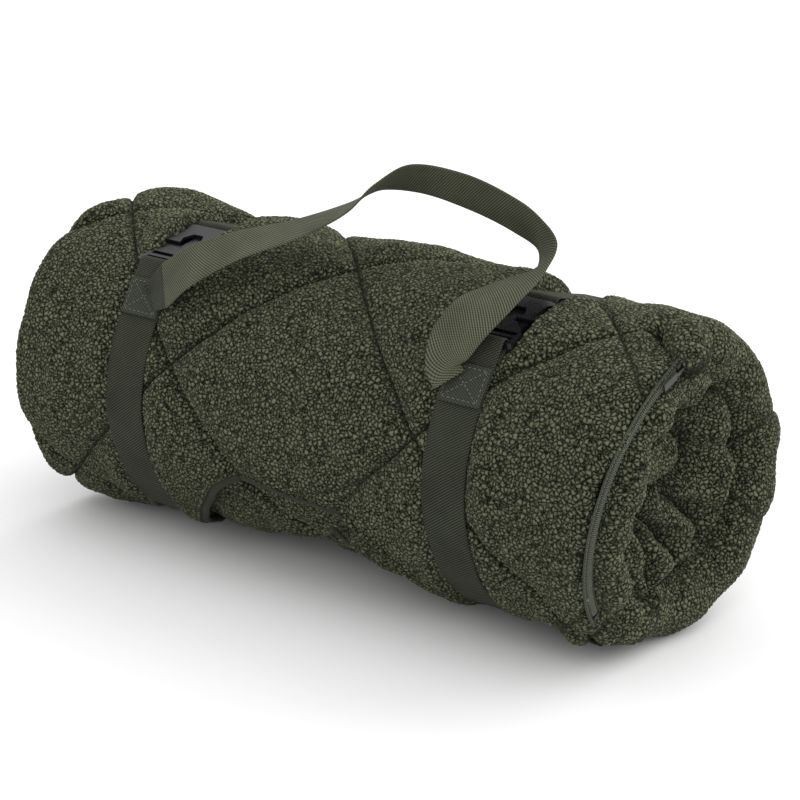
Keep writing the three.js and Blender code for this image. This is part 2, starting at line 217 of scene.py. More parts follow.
def shade_smooth(mesh):
    mesh.polygons.foreach_set("use_smooth", [True] * len(mesh.polygons))


def turn_out(mesh):
    bm = bmesh.new()
    bm.from_mesh(mesh)
    bmesh.ops.recalc_face_normals(bm, faces=bm.faces)
    if bm.calc_volume(signed=True) < 0:
        bmesh.ops.reverse_faces(bm, faces=bm.faces)
    bm.to_mesh(mesh)
    bm.free()


def store(obj, name, values):
    """Keeps a number, or three of them, at each vertex of a grid mesh."""
    kind = "FLOAT" if values.ndim == 2 else "FLOAT_VECTOR"
    attribute = obj.data.attributes.new(name, kind, "POINT")
    key = "value" if values.ndim == 2 else "vector"
    attribute.data.foreach_set(key, values.astype(np.float32).ravel())


# ---- a ply of cloth: a closed sheet with round lips at its left and right edges ----
def spread(length, fine_left, fine_right, spacing=None):
    """Places from 0 to 1 across a ply: close together near its ends, far apart between them."""
    step = spacing or FINE
    if fine_left + fine_right >= length:
        return np.linspace(0, 1, max(int(length / step), 3))
    first = np.arange(0, fine_left, step)
    hidden_count = max(int((length - fine_left - fine_right) / HIDDEN), 2)
    middle = np.linspace(fine_left, length - fine_right, hidden_count)
    last = length - np.arange(0, fine_right, step)[::-1]
    return np.unique(np.concatenate([first, middle, last, [length]])) / length


def ply_grid(left, right, half, place, front, back):
    """Rows of loops: along the front face, round the right lip, back, and round the left lip.

    left, right and half give each row's edges and half thickness. place(x, side) gives y and z,
    where side runs from 1 on the front face to -1 on the back. front and back are spreads."""
    lip = max(int(math.pi * float(np.max(half)) / FINE), 8)
    turn = np.pi * np.arange(1, lip) / lip
    t = np.concatenate([front, np.ones(lip - 1), back[::-1], np.zeros(lip - 1)])[None, :]
    side = np.concatenate([np.ones(len(front)), np.cos(turn), -np.ones(len(back)), -np.cos(turn)])[None, :]
    reach = np.concatenate([np.zeros(len(front)), np.sin(turn), np.zeros(len(back)), -np.sin(turn)])[None, :]
    lip_size = half[:, None]
    x = (left[:, None] + lip_size) * (1 - t) + (right[:, None] - lip_size) * t + lip_size * reach
    y, z = place(x, side)
    return np.stack([x, y + 0 * x, z + 0 * x], axis=-1), side + 0 * x


# ---- node trees ----
def link(tree, source, target):
    tree.links.new(source, target)


def feed(tree, socket, value):
    if isinstance(value, (int, float, tuple)):
        socket.default_value = value
    elif value is not None:
        link(tree, value, socket)


def set_inputs(node, values):
    for name, value in values.items():
        node.inputs[name].default_value = value


def math_node(tree, kind, a, b=None, c=None, clamp=False):
    node = tree.nodes.new("ShaderNodeMath")
    node.operation = kind
    node.use_clamp = clamp
    for socket, value in zip(node.inputs, (a, b, c)):
        feed(tree, socket, value)
    return node.outputs[0]


def vector_math(tree, kind, a, b=None, scale=None):
    node = tree.nodes.new("ShaderNodeVectorMath")
    node.operation = kind
    feed(tree, node.inputs[0], a)
    feed(tree, node.inputs[1], b)
    if scale is not None:
        feed(tree, node.inputs["Scale"], scale)
    return node.outputs[0]


def noise(tree, vector, size, detail=2.0, roughness=0.5):
    """Noise with waves of the given size."""
    node = tree.nodes.new("ShaderNodeTexNoise")
    set_inputs(node, {"Scale": 1 / size, "Detail": detail, "Roughness": roughness})
    link(tree, vector, node.inputs["Vector"])
    return node


def nub_cells(tree, place, size):
    """Tufts or curls of the pile: how far a place is from a gap between two of them, in cells, and
    a number of its own for each. The same nodes shape the mesh and colour the surface."""
    stir = noise(tree, place, 1.9 * size)
    centred = vector_math(tree, "SUBTRACT", stir.outputs["Color"], (0.5, 0.5, 0.5))
    moved = vector_math(tree, "ADD", place, vector_math(tree, "SCALE", centred, scale=0.6 * size))
    gap = tree.nodes.new("ShaderNodeTexVoronoi")
    gap.feature = "DISTANCE_TO_EDGE"
    curl = tree.nodes.new("ShaderNodeTexVoronoi")
    for cells in (gap, curl):
        cells.inputs["Scale"].default_value = 1 / size
        link(tree, moved, cells.inputs["Vector"])
    return gap.outputs["Distance"], curl.outputs["Color"]


def nub_dome(tree, gap):
    """The height of the pile: 0 in the gaps, 1 on the curls' round tops."""
    return math_node(tree, "POWER", math_node(tree, "MULTIPLY", gap, 2.6, clamp=True), 0.55)


def nub_tree():
    tree = bpy.data.node_groups.new("sherpa_nubs", "GeometryNodeTree")
    tree.interface.new_socket("Geometry", in_out="INPUT", socket_type="NodeSocketGeometry")
    tree.interface.new_socket("Geometry", in_out="OUTPUT", socket_type="NodeSocketGeometry")
    start = tree.nodes.new("NodeGroupInput")
    end = tree.nodes.new("NodeGroupOutput")
    place = tree.nodes.new("GeometryNodeInputPosition").outputs[0]
    keep = tree.nodes.new("GeometryNodeStoreNamedAttribute")
    keep.data_type = "FLOAT_VECTOR"
    keep.domain = "POINT"
    keep.inputs["Name"].default_value = "sherpa_at"
    link(tree, start.outputs[0], keep.inputs["Geometry"])
    link(tree, place, keep.inputs["Value"])
    pile = tree.nodes.new("GeometryNodeInputNamedAttribute")
    pile.data_type = "FLOAT"
    pile.inputs["Name"].default_value = "pile"
    gap, _ = nub_cells(tree, place, TUFT)
    height = math_node(tree, "MULTIPLY", nub_dome(tree, gap), pile.outputs["Attribute"])
    normal = tree.nodes.new("GeometryNodeInputNormal").outputs[0]
    out = vector_math(tree, "SCALE", normal, scale=math_node(tree, "MULTIPLY", height, NUB_HEIGHT))
    move = tree.nodes.new("GeometryNodeSetPosition")
    link(tree, keep.outputs["Geometry"], move.inputs["Geometry"])
    link(tree, out, move.inputs["Offset"])
    link(tree, move.outputs[0], end.inputs[0])
    return tree


NUBS = nub_tree()


def grow_pile(obj, pile):
    """Raises the sherpa pile on a piece; pile is its height at each vertex, from 0 to 1."""
    store(obj, "pile", pile)
    modifier = obj.modifiers.new("nubs", "NODES")
    modifier.node_group = NUBS
    bpy.context.view_layer.update()
    depsgraph = bpy.context.evaluated_depsgraph_get()
    grown = bpy.data.meshes.new_from_object(obj.evaluated_get(depsgraph), depsgraph=depsgraph)
    obj.modifiers.clear()
    obj.data = grown
    shade_smooth(grown)


def dress(obj, material, body="root", replaced=()):
    """Gives a piece its material and its body, and hides the CAD nodes it stands for."""
    obj.data.materials.clear()
    obj.data.materials.append(material)
    if body:
        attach(obj, body)
    if replaced:
        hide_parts(*replaced)
    return obj


# ---- materials ----
def new_material(name):
    material = bpy.data.materials.new(name)
    material.use_nodes = True
    tree = material.node_tree
    return material, tree, tree.nodes["Principled BSDF"]


def mix_colour(tree, amount, first, second):
    node = tree.nodes.new("ShaderNodeMix")
    node.data_type = "RGBA"
    feed(tree, node.inputs["Factor"], amount)
    for socket, value in ((node.inputs[6], first), (node.inputs[7], second)):
        feed(tree, socket, (*value, 1) if isinstance(value, tuple) else value)
    return node.outputs[2]


def bump(tree, shader, height, distance, strength=1.0, below=None):
    node = tree.nodes.new("ShaderNodeBump")
    set_inputs(node, {"Distance": distance, "Strength": strength})
    link(tree, height, node.inputs["Height"])
    if below is not None:
        link(tree, below, node.inputs["Normal"])
    link(tree, node.outputs[0], shader.inputs["Normal"])
    return node.outputs[0]


def attribute(tree, name):
    node = tree.nodes.new("ShaderNodeAttribute")
    node.attribute_name = name
    return node.outputs["Vector"]


# painted shade: the pile's colour down in the gaps between its tufts
PILE_GAP_SHADE = (0.003, 0.0035, 0.0022)
PILE_TONES = ((0.110, 0.121, 0.070), (0.145, 0.155, 0.096))
# painted shade: the colour in creases and where one piece of cloth meets another
PAINTED_CREASE_SHADE = (0.006, 0.0065, 0.004)


def sherpa_material():
    material, tree, shader = new_material("sherpa_fleece")
    place = attribute(tree, "sherpa_at")
    gap, own = nub_cells(tree, place, TUFT)
    curls = noise(tree, place, CURL, 1.0).outputs["Fac"]
    patches = noise(tree, place, 16 * MM).outputs["Fac"]
    # painted shade and light: the colour darkens into the gaps between tufts and brightens on their round
    # tops
    raised = math_node(tree, "MULTIPLY_ADD", gap, 3.3, -0.12)
    lit = math_node(tree, "MULTIPLY_ADD", math_node(tree, "SUBTRACT", curls, 0.5), 1.6, raised, clamp=True)
    split = tree.nodes.new("ShaderNodeSeparateColor")
    link(tree, own, split.inputs[0])
    blotches = math_node(tree, "MULTIPLY", patches, 0.4)
    tint = math_node(tree, "MULTIPLY_ADD", split.outputs[0], 0.4, blotches, clamp=True)
    fleece = mix_colour(tree, lit, PILE_GAP_SHADE, mix_colour(tree, tint, *PILE_TONES))
    # painted shade from the seam attribute: darker along the quilting creases, where turns meet, and under
    # the zip lobe
    seam = tree.nodes.new("ShaderNodeAttribute")
    seam.attribute_name = "seam"
    colour = mix_colour(tree, seam.outputs["Fac"], fleece, PAINTED_CREASE_SHADE)
    link(tree, colour, shader.inputs["Base Color"])
    set_inputs(shader, {"Roughness": 0.95, "Specular IOR Level": 0.06, "Sheen Weight": 0.10,
                        "Sheen Roughness": 0.5, "Sheen Tint": (0.8, 0.85, 0.6, 1)})
    coarse = bump(tree, shader, nub_dome(tree, gap), 1.5 * MM, 0.7)
    bump(tree, shader, curls, 1.2 * MM, 0.8, below=coarse)
    return material


def webbing_material(name, dark, light):
    """Ribs across the webbing, crossed by a fine twill. The attribute weave holds the place
    along and across the webbing."""
    material, tree, shader = new_material(name)
    weave = attribute(tree, "weave")
    split = tree.nodes.new("ShaderNodeSeparateXYZ")
    link(tree, weave, split.inputs[0])
    row = math_node(tree, "MULTIPLY", split.outputs[0], 2 * math.pi / (2.2 * MM))
    lean = math_node(tree, "MULTIPLY", split.outputs[1], 2 * math.pi / (3.2 * MM))
    rib = math_node(tree, "SINE", math_node(tree, "ADD", row, lean))
    cross = math_node(tree, "SINE", math_node(tree, "SUBTRACT", row, lean))
    woven = math_node(tree, "MULTIPLY_ADD", rib, 0.42, 0.5)
    woven = math_node(tree, "MULTIPLY_ADD", cross, 0.14, woven)
    fibres = noise(tree, weave, 0.45 * MM).outputs["Fac"]
    wear = noise(tree, weave, 30 * MM).outputs["Fac"]
    lowered = math_node(tree, "SUBTRACT", woven, 0.15)
    shade = math_node(tree, "MULTIPLY_ADD", fibres, 0.35, lowered, clamp=True)
    shade = math_node(tree, "MULTIPLY", shade, math_node(tree, "ADD", wear, 0.5), clamp=True)
    link(tree, mix_colour(tree, shade, dark, light), shader.inputs["Base Color"])
    set_inputs(shader, {"Roughness": 0.8, "Sheen Weight": 0.02, "Specular IOR Level": 0.12})
    bump(tree, shader, shade, 0.3 * MM, 0.8)
    return material


def plastic_material():
    material, tree, shader = new_material("moulded_black_plastic")
    place = tree.nodes.new("ShaderNodeTexCoord").outputs["Object"]
    grain = noise(tree, place, 0.4 * MM).outputs["Fac"]
    wear = noise(tree, place, 9 * MM, 3.0).outputs["Fac"]
    colour = mix_colour(tree, wear, (0.004, 0.004, 0.005), (0.010, 0.010, 0.012))
    link(tree, colour, shader.inputs["Base Color"])
    rough = tree.nodes.new("ShaderNodeMapRange")
    set_inputs(rough, {"To Min": 0.20, "To Max": 0.34})
    link(tree, wear, rough.inputs["Value"])
    link(tree, rough.outputs[0], shader.inputs["Roughness"])
    set_inputs(shader, {"Specular IOR Level": 0.25})
    bump(tree, shader, grain, 0.06 * MM, 0.4)
    return material


def metal_material():
    material, tree, shader = new_material("dark_zip_metal")
    place = tree.nodes.new("ShaderNodeTexCoord").outputs["Object"]
    rubbed = noise(tree, place, 2.5 * MM, 3.0).outputs["Fac"]
    colour = mix_colour(tree, rubbed, (0.016, 0.018, 0.013), (0.050, 0.053, 0.042))
    link(tree, colour, shader.inputs["Base Color"])
    set_inputs(shader, {"Metallic": 0.8, "Roughness": 0.38})
    bump(tree, shader, rubbed, 0.05 * MM, 0.5)
    return material


def plain_cloth_material(name, dark, light, grain):
    """Smooth woven cloth, as on the hem and the zip's tapes."""
    material, tree, shader = new_material(name)
    weave = attribute(tree, "weave")
    threads = noise(tree, weave, grain, 2.0, 0.6).outputs["Fac"]
    soft = noise(tree, weave, 12 * MM).outputs["Fac"]
    crisp = math_node(tree, "MULTIPLY", threads, 0.6)
    shade = math_node(tree, "MULTIPLY_ADD", soft, 0.5, crisp, clamp=True)
    link(tree, mix_colour(tree, shade, dark, light), shader.inputs["Base Color"])
    set_inputs(shader, {"Roughness": 0.85, "Sheen Weight": 0.03, "Specular IOR Level": 0.2})
    bump(tree, shader, threads, 0.3 * MM, 0.7)
    return material


# ---- the outer panel's turn ----
WINDING_RADIUS = 130                          # millimetres: turns degrees into lengths round the roll
QUILT_PITCH = 262 * MM                        # between lines of one family, along the winding
QUILT_LINES = ((1.07, 19 * MM), (-1.12, 51 * MM))            # each family's slope and shift
CREASE, CREASE_WIDTH = 5.2 * MM, 3.2 * MM     # the stitched line itself
SAG, SAG_WIDTH = 5.5 * MM, 20 * MM            # the wadding's slope down to it
PRESSED_FLATS = ((12, 110.2), (-12, 108.3), (-25, 114.5))    # degrees, millimetres from the axis
PRESSED_RADIUS = STRAP_RADIUS - WEB_THICK / 2 - 0.6 * MM
UNDER_FLAP = 20 * MM                          # the panel dips under the flap's edge
UNDER_FLAP_EASE = 9 * MM                      # and swells again below it
LIP = 2.5 * MM                                # the flap's edge is full
ARCH = (
    # the free edge between the straps: millimetres along the roll, degrees
    (-150, 158), (-136, 140), (-117, 127), (-102, 119), (-91, 112.5), (-75, 108), (-57, 105.3), (-30, 105),
    (0, 106), (22, 107), (40, 109.5), (56, 114), (70, 120.5), (82, 130), (94, 142), (108, 158),
)
SECOND_EDGE = ((-60, 100), (-26, 112), (3, 122), (27, 133), (40, 148), (60, 170))
RING_EDGE = (
    # where the rolled turns end at the right, round the back: degrees, millimetres
    (-270, 225), (-232, 244), (-212, 253), (-195, 258), (-160, 265), (-125, 273), (-90, 273), (-62, 269),
    (-30, 261), (0, 253), (30, 252),
)
RING_THICK = ((-232, 20), (-208, 32), (-180, 46), (-100, 44), (0, 42))
ZIPPED_THICK = 14


def free_angle(x):
    """Where the free edge lies, in degrees: it is pulled up in an arch between the straps."""
    return sum(knots(x / MM + shift, ARCH) for shift in (-4, -2, 0, 2, 4)) / 5


def quilt_distance(x, degrees):
    """How far a place is from the nearest quilting line; the lines cross in diamonds."""
    along = np.radians(degrees) * WINDING_RADIUS * MM
    near = []
    for slope, shift in QUILT_LINES:
        offset = (along + slope * x - shift + QUILT_PITCH / 2) % QUILT_PITCH - QUILT_PITCH / 2
        near.append(np.abs(offset) / math.hypot(1, slope))
    return near


def quilting(x, degrees):
    """How far the stitching draws the cloth in."""
    depth = 0
    for near in quilt_distance(x, degrees):
        sewn_in = CREASE * np.exp(-near / CREASE_WIDTH)
        depth = np.maximum(depth, sewn_in + SAG * np.exp(-(near / SAG_WIDTH) ** 1.4))
    return depth


def pressed_radius(degrees):
    """The cloth under a strap and its buckle, which press flat places into the roll."""
    held = np.full(np.shape(degrees), PRESSED_RADIUS)
    for normal, distance in PRESSED_FLATS:
        lean = np.cos(np.radians(degrees - normal))
        held = np.minimum(held, np.where(lean > 0.3, distance * MM / np.maximum(lean, 0.3), 1.0))
    return held


def from_strap(x):
    return np.minimum(np.abs(x - STRAP_X["left"]), np.abs(x - STRAP_X["right"]))


def second_edge(x):
    """Where the second ply's edge shows below the arch, in degrees."""
    return knots(x / MM, SECOND_EDGE)


def under_flap(x, wound):
    """How far the panel lies below the outside where the flap covers it, and just past the flap."""
    below_edge = FLAP_ANGLE + 360 - wound - free_angle(x)
    deep = UNDER_FLAP * (1 - 0.35 * smooth(-70 * MM, -95 * MM, x))
    deep = deep * (1 - 0.5 * smooth(170 * MM, 225 * MM, x))
    eased = deep - UNDER_FLAP_EASE * smooth(2, 26, below_edge) * deep / UNDER_FLAP
    inner_hem = 5.0 * MM * smooth(-1.5, 1.0, second_edge(x) - (FLAP_ANGLE + 360 - wound) % 360)
    inner_hem = inner_hem * smooth(352, 356, wound) * smooth(-40 * MM, -24 * MM, x)
    return (eased - inner_hem) * smooth(318, 352, wound)


def cloth_radius(x, degrees, wound):
    along = np.radians(degrees) * WINDING_RADIUS * MM
    stitched = quilting(x, degrees) * (1 - 0.6 * smooth(215 * MM, 262 * MM, x))
    radius = ROLL_RADIUS - stitched + 1.1 * MM * lumps(x, along, 85 * MM, 3)
    radius = radius + 0.7 * MM * lumps(x, along, 30 * MM, 4) - under_flap(x, wound)
    radius = radius + LIP * (1 - smooth(4, 16, wound)) * smooth(8, 20, FLAP_ANGLE - free_angle(x))
    near = from_strap(x)
    radius = radius + 1.0 * MM * np.exp(-((near - 34 * MM) / (9 * MM)) ** 2) + end_shape(x, degrees)
    press = 1 - smooth(19 * MM, 27 * MM, near)
    held = np.minimum(radius, pressed_radius(degrees) - 0.5 * under_flap(x, wound))
    return radius + (held - radius) * press


def end_shape(x, degrees):
    """The roll is fuller at its left end and below the zip, and slimmer at the back of its top."""
    turned = (degrees + 180) % 360 - 180
    flare = 4.5 * MM * smooth(-205 * MM, -262 * MM, x)
    hang = 9 * MM * smooth(185 * MM, 225 * MM, x) * np.exp(-((turned - 141) / 16) ** 2)
    behind = np.exp(-((turned + 25) / 42) ** 2)
    slim = -8 * MM * smooth(140 * MM, 185 * MM, x) * behind
    by_strap = -3.5 * MM * np.exp(-(from_strap(x) / (48 * MM)) ** 2) * behind
    under_corner = -10 * MM * smooth(236 * MM, 256 * MM, x) * np.exp(-((turned - 16) / 12) ** 2)
    return flare + hang + slim + by_strap + under_corner


def panel_layers(panel, ending=""):
    return tuple(f"{panel}_{layer}{ending}" for layer in ("face", "wadding", "lining"))


def make_outer_panel(material):
    rows = int(math.radians(OUTER_SWEEP) * ROLL_RADIUS / FINE)
    wound = np.linspace(0, OUTER_SWEEP, rows)
    nominal = FLAP_ANGLE - wound
    along = np.radians(nominal) * ROLL_RADIUS
    zipped = smooth(10, 24, nominal)
    plane = ZIP_X + ZIP_SLANT * 121 * MM * np.cos(np.radians(nominal))
    ring = knots(nominal, RING_EDGE) * MM
    corner = 20 * MM * smooth(126, 158, nominal)
    right = (plane - corner) * zipped + ring * (1 - zipped) + 1.8 * MM * lumps(along, 0 * along, 40 * MM, 11)
    left = PANEL_LEFT - 13 * MM + 2.5 * MM * lumps(along, 0 * along, 70 * MM, 12)
    thick_right = 0.5 * (ZIPPED_THICK * zipped + knots(nominal, RING_THICK) * (1 - zipped)) * MM
    half = np.maximum(thick_right, 11 * MM)
    degrees_row = nominal[:, None]
    wound_row = wound[:, None]

    def place(x, side):
        share = np.clip(wound_row / 70, 0, 1)
        degrees = degrees_row + (free_angle(x) - FLAP_ANGLE) * (1 - share) ** 1.5
        outside = cloth_radius(x, degrees, wound_row)
        near_end = smooth(150 * MM, 225 * MM, x)
        thick = 22 * MM * (1 - near_end) + 2 * thick_right[:, None] * near_end
        at_edge = smooth(0, 34, wound_row)
        thick = 9 * MM + (thick - 9 * MM) * at_edge
        return round_axis(outside - thick * (1 - side) / 2, degrees)

    front = spread(float(np.mean(right - left)), 1.0, 1.0)
    back = spread(float(np.mean(right - left)), 10 * MM, 55 * MM, 1.3 * FINE)
    grid, side = ply_grid(left, right, half, place, front, back)
    obj = grid_mesh("outer_panel", grid)
    webbed = smooth(17.5 * MM, 20 * MM, from_strap(grid[..., 0]))
    buried = smooth(0, 6, wound_row) * 0.5 + 0.5
    seam = np.minimum(*quilt_distance(grid[..., 0], degrees_row + 0 * grid[..., 0]))
    # painted shade: the colour darkens along the quilting lines, in the creases the stitching draws in
    store(obj, "seam", 0.85 * np.exp(-(seam / (1.8 * MM)) ** 2) * webbed)
    sewn = 1 - 0.7 * np.exp(-(seam / (2.2 * MM)) ** 2)
    grow_pile(obj, (0.06 + 0.94 * webbed) * buried * sewn * np.where(side < -0.95, 0.6, 1.0))
    dress(obj, material, replaced=panel_layers("outer_panel"))


# ---- the plies inside the roll ----
def route_frame(route, spacing):
    """Evenly spaced points of a (y, z) route and the normals on its left."""
    smooth_route = catmull(route, 400)
    count = max(int(lengths_along(smooth_route)[-1] / spacing), 8)
    points = resample(smooth_route, count)
    ahead = unit(np.gradient(points, axis=0))
    return points, np.stack([-ahead[:, 1], ahead[:, 0]], axis=1)


def fleece_all_over(obj, grid, material, replaced=()):
    grow_pile(obj, np.ones(grid.shape[:2]))
    dress(obj, material, replaced=replaced)


def round_ends(along, total, radius):
    """1 in the middle of a route, falling to nearly 0 in a round at its two ends."""
    reach = np.clip(np.minimum(along, total - along) / radius, 0.0, 1.0)
    return np.sqrt(np.maximum(1 - (1 - reach) ** 2, 0.004))


INNER_START, INNER_SWEEP = 148, 352           # degrees
INNER_RADIUS = 100                            # millimetres
RIM_PROUD = ((10, 4), (25, 6), (45, 11), (80, 20), (148, 20))             # degrees, millimetres past the zip
RIM_RECESSED = ((-204, 226), (-100, 230), (-40, 230), (-10, 244), (10, 262))
RIM_RADIUS = ((-204, 78), (-150, 74), (-100, 75), (-60, 76), (-20, 80), (8, 92), (26, 100), (60, 101),
              (148, 102))


def make_inner_panel(material):
    """The second ply. Its front stretch stands out past the zip, and the rest lines the ring."""
    rows = int(math.radians(INNER_SWEEP) * INNER_RADIUS * MM / FINE)
    nominal = np.linspace(INNER_START, INNER_START - INNER_SWEEP, rows)
    along = np.radians(nominal) * INNER_RADIUS * MM
    total = along[0] - along[-1]
    front = smooth(4, 26, nominal)
    plane = ZIP_X + ZIP_SLANT * 105 * MM * np.cos(np.radians(nominal))
    standing = plane + (knots(nominal, RIM_PROUD) + 3 * lumps(along, 0 * along, 24 * MM, 21)) * MM
    recessed = knots(nominal, RIM_RECESSED) * MM + 1.5 * MM * lumps(along, 0 * along, 36 * MM, 22)
    right = standing * front + recessed * (1 - front)
    left = INNER_LEFT - 13 * MM + 2.0 * MM * lumps(along, 0 * along, 50 * MM, 23)
    ends = round_ends(along[0] - along, total, 14 * MM)
    half = 10.5 * MM * ends
    row = nominal[:, None]

    def place(x, side):
        towards = smooth(120 * MM, 225 * MM, x)
        middle = 95 * MM * (1 - towards) + knots(row, RIM_RADIUS) * MM * towards
        middle = middle + 1.2 * MM * lumps(x, along[:, None], 30 * MM, 24)
        return round_axis(middle + half[:, None] * side, row)

    across = spread(float(np.mean(right - left)), 30 * MM, 62 * MM)
    grid, _ = ply_grid(left, right, half, place, across, across)
    fleece_all_over(grid_mesh("inner_panel", grid), grid, material, panel_layers("inner_panel"))


FOLDS = {
    # name: (route in the section, thickness)
    "inner_fold_top": ([(-66, 62), (-42, 74), (-10, 76), (22, 68), (48, 52), (62, 28)], 27),
    "inner_curl": ([(-76, 28), (-60, 44), (-36, 46), (-12, 42), (2, 30), (-4, 16), (-24, 11),
                    (-44, 14)], 20),
    "inner_fold_middle": ([(-60, -4), (-36, -6), (-10, -12), (12, -24), (27, -42), (20, -60), (2, -70)], 23),
    "inner_fold_low": ([(-84, -20), (-60, -28), (-36, -42), (-24, -62), (-34, -80), (-58, -78)], 22),
    "inner_core": ([(60, 10), (58, -20), (40, -36), (16, 2), (30, 30), (14, 34)], 22),
}
FOLDS_LEFT, FOLDS_RIGHT = -273, 220
FOLDS_FINE = 52 * MM                          # so far in from its ends a fold has a fine mesh
TURN_CREASES = (
    # where one turn meets the next at the zipped end: the crease's reach, and its (y, z) places from
    # the axis, in millimetres
    (10, ((-30, 95), (0, 92), (24, 88), (48, 74), (66, 56), (78, 26), (82, -7), (78, -29), (66, -53),
          (44, -66), (18, -74), (-6, -79), (-33, -82), (-50, -85))),
    (9, ((-62, 54), (-40, 50), (-19, 53), (4, 47), (24, 47), (46, 54), (66, 58))),
    (14, ((4, 45), (20, 36), (30, 22), (31, 6), (20, -4), (4, -11))),
    (9, ((-66, 30), (-44, 40), (-22, 52), (2, 43), (16, 28), (16, 12), (2, 3), (-14, -5), (-42, -4),
         (-66, 4))),
    (9, ((-50, -2), (-29, -20), (-11, -37), (4, -54), (5, -76))),
    (8, ((-47, -16), (-33, -39), (-30, -55), (-28, -80))),
    (9, ((2, -12), (29, -32), (39, -46), (32, -60), (20, -76))),
)


def make_fold(name, route, thick, material, seed, replaced):
    """A turn or fold of cloth whose (y, z) route in millimetres is followed through the roll."""
    points, normals = route_frame(np.array(route) * MM, FINE)
    along = lengths_along(points)
    swell = 1 + 0.10 * lumps(along, 0 * along, 32 * MM, seed)
    half = thick * MM / 2 * round_ends(along, along[-1], thick * MM / 2) * swell
    edges = [place * MM + 2.2 * MM * lumps(along, 0 * along, 34 * MM, seed + number)
             for number, place in ((1, FOLDS_LEFT), (2, FOLDS_RIGHT))]

    def place_at(x, side):
        drift = 0.8 * MM * lumps(x, along[:, None], 26 * MM, seed + 5)
        reach = half[:, None] * side + drift
        return (points[:, None, 0] + normals[:, None, 0] * reach,
                AXIS_Z + points[:, None, 1] + normals[:, None, 1] * reach)

    across = spread(float(np.mean(edges[1] - edges[0])), FOLDS_FINE, FOLDS_FINE)
    grid, _ = ply_grid(edges[0], edges[1], half, place_at, across, across)
    fleece_all_over(grid_mesh(name, grid), grid, material, replaced)


def make_inner_folds(material):
    for seed, (name, (route, thick)) in enumerate(FOLDS.items()):
        replaced = panel_layers("outer_panel", "_core") if name == "inner_core" else ()
        make_fold(name, route, thick, material, 40 + 10 * seed, replaced)


def from_creases(y, z):
    """How far a place on the end is from the nearest meeting of two turns, as a share of its reach."""
    nearest = np.full(np.shape(y), 9.0)
    for reach, crease in TURN_CREASES:
        for point in catmull(np.array(crease) * MM, 70):
            nearest = np.minimum(nearest, np.hypot(y - point[0], z - point[1]) / (reach * MM))
    return nearest


TURNS_FACE, TURNS_BACK = 262 * MM, 214 * MM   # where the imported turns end, and where the piece does inside
TURNS_REACH = 98 * MM
TURNS_HOLLOW, TURNS_DROP = 10 * MM, 22 * MM   # how much deeper their middle and their front lie
TURNS_CREASE, TURNS_ROUND = 24 * MM, 10 * MM  # how deep the creases are, and the rounding of their rim


def make_inner_turns(material):
    """The inner turns' edges, packed together inside the ring at the zipped end."""
    centre = 0.6 * MM
    outwards = [np.arange(centre, TURNS_REACH, FINE), [TURNS_REACH, TURNS_REACH, centre]]
    radius = np.concatenate(outwards)[:, None]
    turn = np.linspace(0, 2 * math.pi, int(2 * math.pi * 80 * MM / FINE), endpoint=False)[None, :]
    y, z = radius * np.cos(turn), radius * np.sin(turn)
    creased = from_creases(y, z)
    top = TURNS_FACE - TURNS_HOLLOW * (1 - smooth(30 * MM, 62 * MM, radius))
    top = top - TURNS_DROP * smooth(-34 * MM, -66 * MM, y)
    x = top - TURNS_CREASE * np.exp(-creased ** 1.1) + 3.0 * MM * lumps(y, z, 30 * MM, 91)
    x = x - TURNS_ROUND * smooth(84 * MM, TURNS_REACH, radius)
    x[-2:] = TURNS_BACK
    grid = np.stack([x, y, AXIS_Z + z], axis=-1)
    obj = grid_mesh("inner_turns", grid)
    # painted shade where one turn meets the next, in the creases between them
    store(obj, "seam", 0.7 * np.exp(-(creased / 0.42) ** 2))
    fleece_all_over(obj, grid, material)


LOBE_X, LOBE_RADIUS, LOBE_ANGLE = 271 * MM, 114 * MM, 11.5
LOBE_REACH = (22 * MM, 21 * MM, 15 * MM)      # along the roll, round it, and out from it
LOBE_LEAN = 0.35                              # degrees forward for each millimetre to the right


def make_zip_lobe(material):
    """The corner of the second ply, turned out over the zip's top end."""
    rings, around = 60, 90
    polar_angle = np.linspace(0.02, math.pi - 0.02, rings)[:, None]
    turn = np.linspace(0, 2 * math.pi, around, endpoint=False)[None, :]
    ring = np.sin(polar_angle)
    ball = [ring * np.cos(turn), ring * np.sin(turn), np.cos(polar_angle) + 0 * turn]
    square = [np.sign(v) * np.abs(v) ** 0.85 for v in ball]
    swell = 1 + 0.06 * lumps(3 * turn, 3 * polar_angle, 3.0, 71)
    ahead, sideways, out = (reach * v * swell for reach, v in zip(LOBE_REACH, square))
    x = LOBE_X + ahead
    degrees = LOBE_ANGLE + np.degrees(sideways / (120 * MM)) + LOBE_LEAN * (x - LOBE_X) / MM
    grid = np.stack([x, *round_axis(LOBE_RADIUS + out, degrees)], axis=-1)
    obj = grid_mesh("inner_panel_corner", grid)
    # painted shadow at the lobe's base, where it rests on the cloth below
    store(obj, "seam", 0.8 * smooth(0.42, 0.02, square[2]) + 0 * grid[..., 0])
    fleece_all_over(obj, grid, material)


